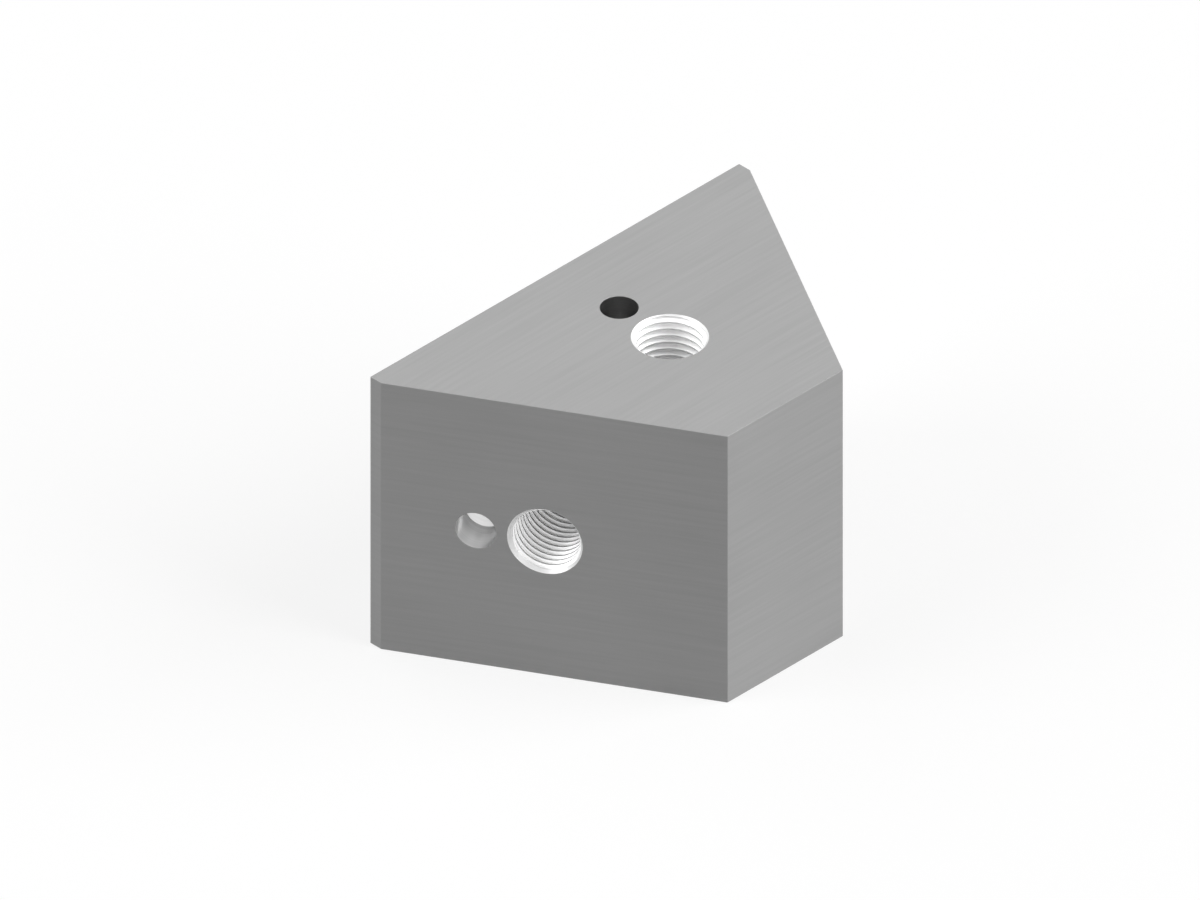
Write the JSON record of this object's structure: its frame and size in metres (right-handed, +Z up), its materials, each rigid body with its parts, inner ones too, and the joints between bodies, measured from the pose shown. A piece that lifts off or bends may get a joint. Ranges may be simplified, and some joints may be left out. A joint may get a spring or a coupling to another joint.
{
  "type": "truss corner",
  "caption": "Solid corner block for a truss: two faces at 60 degrees and the top each take a strut, held by a tapped hole and located by a pin hole.",
  "frame": {"origin": "on the underside, in the middle of the block's length and depth", "axes": "+X along the wide back face, +Y from the narrow front face to the wide back face, +Z up along the top strut's axis"},
  "size_m": [0.08, 0.05, 0.05],
  "materials": {
    "machined_aluminium": "satin milled faces, brighter walls in the drilled and tapped holes"
  },
  "bodies": {
    "root": {"corner_block": "machined_aluminium"}
  },
  "joints": []
}
